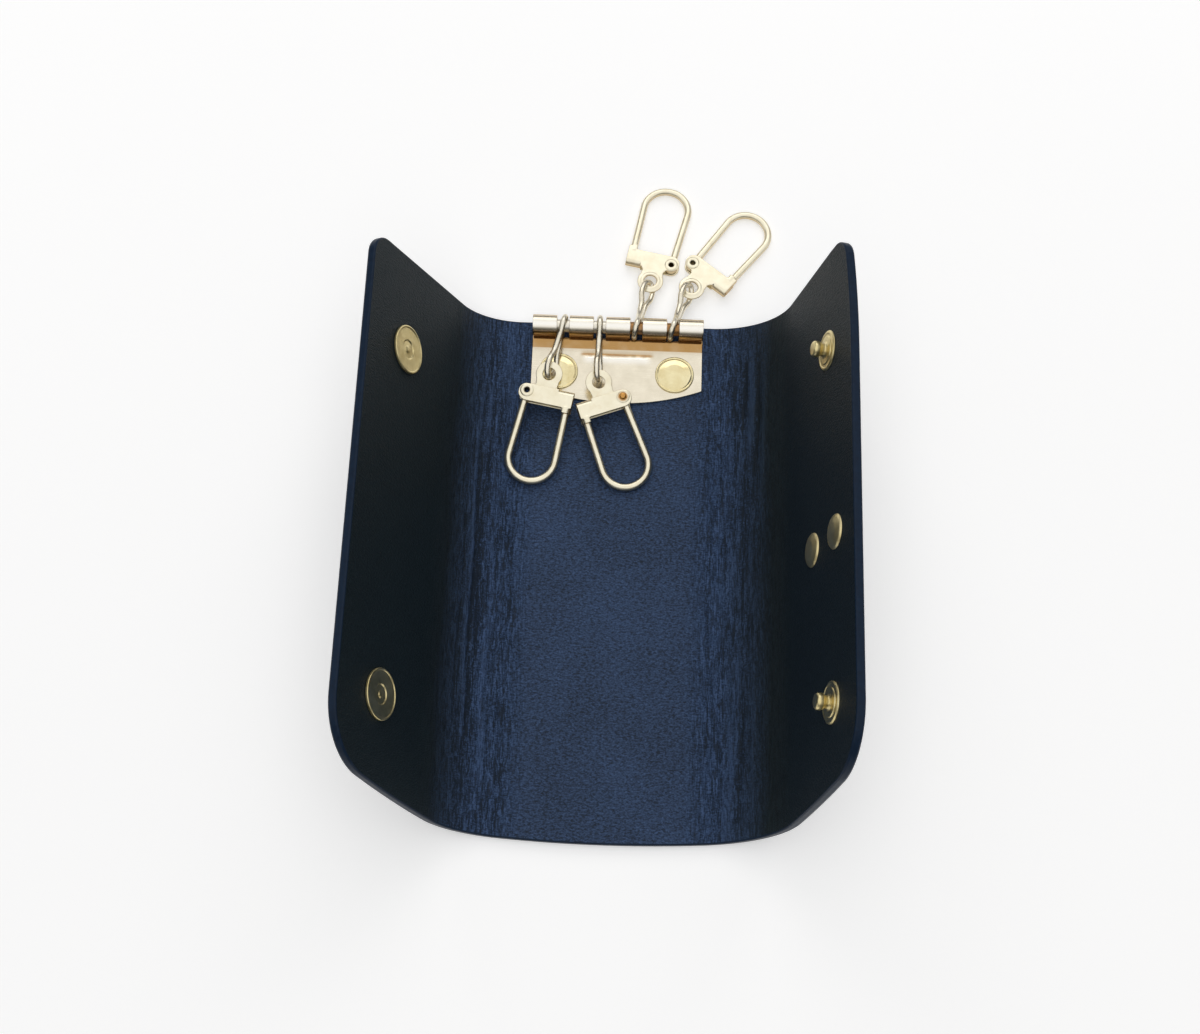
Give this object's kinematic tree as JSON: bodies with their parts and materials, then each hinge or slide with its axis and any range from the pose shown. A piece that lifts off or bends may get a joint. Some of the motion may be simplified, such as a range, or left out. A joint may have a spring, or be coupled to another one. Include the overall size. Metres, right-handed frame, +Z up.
{
  "type": "leather key case",
  "caption": "Three-fold leather key case, half open, with a metal key rack, swinging key hooks that open, snap fasteners and flap rivets.",
  "frame": {"origin": "underside of the centre panel, in line with the middle of the key rack, half way along the leather", "axes": "+X across the case to the right, +Y along it towards the key rack, +Z up, away from the table"},
  "size_m": [0.0968, 0.1498, 0.047],
  "materials": {
    "outer_leather": "fine grain, satin",
    "lining": "fine grain, matte",
    "rack": "pale gold plating, satin",
    "hook_metal": "pale gold plating, polished",
    "fittings": "gold plating, polished",
    "rod": "brown, plain"
  },
  "bodies": {
    "centre": {"centre_outer": "outer_leather", "centre_lining": "lining", "rack_plate": "rack", "rack_rod": "rod", "rack_rivets": "fittings", "rack_washers": "fittings"},
    "left_strip1": {"left_strip1_outer": "outer_leather", "left_strip1_lining": "lining"},
    "left_strip2": {"left_strip2_outer": "outer_leather", "left_strip2_lining": "lining"},
    "left_strip3": {"left_strip3_outer": "outer_leather", "left_strip3_lining": "lining"},
    "left_flap": {"left_flap_outer": "outer_leather", "left_flap_lining": "lining", "socket_cap_upper": "fittings", "socket_cap_lower": "fittings", "socket_upper": "fittings", "socket_lower": "fittings"},
    "right_strip1": {"right_strip1_outer": "outer_leather", "right_strip1_lining": "lining"},
    "right_strip2": {"right_strip2_outer": "outer_leather", "right_strip2_lining": "lining"},
    "right_strip3": {"right_strip3_outer": "outer_leather", "right_strip3_lining": "lining"},
    "right_flap": {"right_flap_outer": "outer_leather", "right_flap_lining": "lining", "stud_upper": "fittings", "stud_lower": "fittings", "stud_cap_upper": "fittings", "stud_cap_lower": "fittings", "flap_rivets": "fittings", "flap_rivet_caps": "fittings"},
    "link1": {"link_1": "hook_metal"},
    "hook1": {"hook_1": "hook_metal", "pivot_1": "hook_metal"},
    "bail1": {"bail_1": "hook_metal"},
    "link2": {"link_2": "hook_metal"},
    "hook2": {"hook_2": "hook_metal", "pivot_2": "hook_metal"},
    "bail2": {"bail_2": "hook_metal"},
    "link3": {"link_3": "hook_metal"},
    "hook3": {"hook_3": "hook_metal", "pivot_3": "hook_metal"},
    "bail3": {"bail_3": "hook_metal"},
    "link4": {"link_4": "hook_metal"},
    "hook4": {"hook_4": "hook_metal", "pivot_4": "hook_metal"},
    "bail4": {"bail_4": "hook_metal"}
  },
  "joints": [
    {"name": "left_fold", "type": "hinge", "parent": "centre", "child": "left_strip1", "pos_m": [-0.0235, 0, 0], "axis": [0, 1, 0], "range_deg": [-16.1, 28.9]},
    {"name": "left_bend2", "type": "hinge", "parent": "left_strip1", "child": "left_strip2", "pos_m": [-0.02773, 0, 0.00122], "axis": [0, 1, 0], "range_deg": [-16.1, 28.9]},
    {"name": "left_bend3", "type": "hinge", "parent": "left_strip2", "child": "left_strip3", "pos_m": [-0.03145, 0, 0.00356], "axis": [0, 1, 0], "range_deg": [-16.1, 28.9]},
    {"name": "left_bend4", "type": "hinge", "parent": "left_strip3", "child": "left_flap", "pos_m": [-0.03438, 0, 0.00685], "axis": [0, 1, 0], "range_deg": [-16.1, 28.9]},
    {"name": "right_fold", "type": "hinge", "parent": "centre", "child": "right_strip1", "pos_m": [0.0238, 0, 0], "axis": [0, -1, 0], "range_deg": [-19.12, 25.88]},
    {"name": "right_bend2", "type": "hinge", "parent": "right_strip1", "child": "right_strip2", "pos_m": [0.02964, 0, 0.00203], "axis": [0, -1, 0], "range_deg": [-19.12, 25.88]},
    {"name": "right_bend3", "type": "hinge", "parent": "right_strip2", "child": "right_strip3", "pos_m": [0.03449, 0, 0.00585], "axis": [0, -1, 0], "range_deg": [-19.12, 25.88]},
    {"name": "right_bend4", "type": "hinge", "parent": "right_strip3", "child": "right_flap", "pos_m": [0.03783, 0, 0.01106], "axis": [0, -1, 0], "range_deg": [-19.12, 25.88]},
    {"name": "link1_flip", "type": "hinge", "parent": "centre", "child": "link1", "pos_m": [-0.01203, 0.055, 0.00495], "axis": [1, 0, 0], "range_deg": [-150, 0]},
    {"name": "hook1_swing", "type": "hinge", "parent": "link1", "child": "hook1", "pos_m": [-0.01469, 0.04249, 0.0054], "axis": [-0.0266, -0.1436, 0.9893], "range_deg": [-9, 6]},
    {"name": "loop1_open", "type": "hinge", "parent": "hook1", "child": "bail1", "pos_m": [-0.01915, 0.03875, 0.00564], "axis": [-0.0266, -0.1436, 0.9893], "range_deg": [-9, 0]},
    {"name": "link2_flip", "type": "hinge", "parent": "centre", "child": "link2", "pos_m": [-0.00401, 0.055, 0.00495], "axis": [1, 0, 0], "range_deg": [-150, 0]},
    {"name": "hook2_swing", "type": "hinge", "parent": "link2", "child": "hook2", "pos_m": [-0.00401, 0.04221, 0.0054], "axis": [0.0512, -0.1368, 0.9893], "range_deg": [-4, 30]},
    {"name": "loop2_open", "type": "hinge", "parent": "hook2", "child": "bail2", "pos_m": [0.00147, 0.03812, 0.00546], "axis": [-0.0512, 0.1368, -0.9893], "range_deg": [-60, 0]},
    {"name": "link3_flip", "type": "hinge", "parent": "centre", "child": "link3", "pos_m": [0.00401, 0.055, 0.00495], "axis": [-1, 0, 0], "range_deg": [-150, 0]},
    {"name": "hook3_swing", "type": "hinge", "parent": "link3", "child": "hook3", "pos_m": [0.00674, 0.06731, 0.00273], "axis": [0.008, 0.0411, 0.9991], "range_deg": [-14, 45]},
    {"name": "loop3_open", "type": "hinge", "parent": "hook3", "child": "bail3", "pos_m": [0.01141, 0.07197, 0.0016], "axis": [0.008, 0.0411, 0.9991], "range_deg": [-27, 0]},
    {"name": "link4_flip", "type": "hinge", "parent": "centre", "child": "link4", "pos_m": [0.01203, 0.055, 0.00495], "axis": [-1, 0, 0], "range_deg": [-150, 0]},
    {"name": "hook4_swing", "type": "hinge", "parent": "link4", "child": "hook4", "pos_m": [0.01561, 0.06709, 0.00273], "axis": [0.0258, 0.033, 0.9991], "range_deg": [-45, 12]},
    {"name": "loop4_open", "type": "hinge", "parent": "hook4", "child": "bail4", "pos_m": [0.01621, 0.07269, 0.00163], "axis": [-0.0258, -0.033, -0.9991], "range_deg": [-32, 0]}
  ],
  "couplings": [
    {"joint": "left_bend2", "follows": "left_fold", "ratio": 1},
    {"joint": "left_bend3", "follows": "left_fold", "ratio": 1},
    {"joint": "left_bend4", "follows": "left_fold", "ratio": 1},
    {"joint": "right_bend2", "follows": "right_fold", "ratio": 1},
    {"joint": "right_bend3", "follows": "right_fold", "ratio": 1},
    {"joint": "right_bend4", "follows": "right_fold", "ratio": 1}
  ]
}
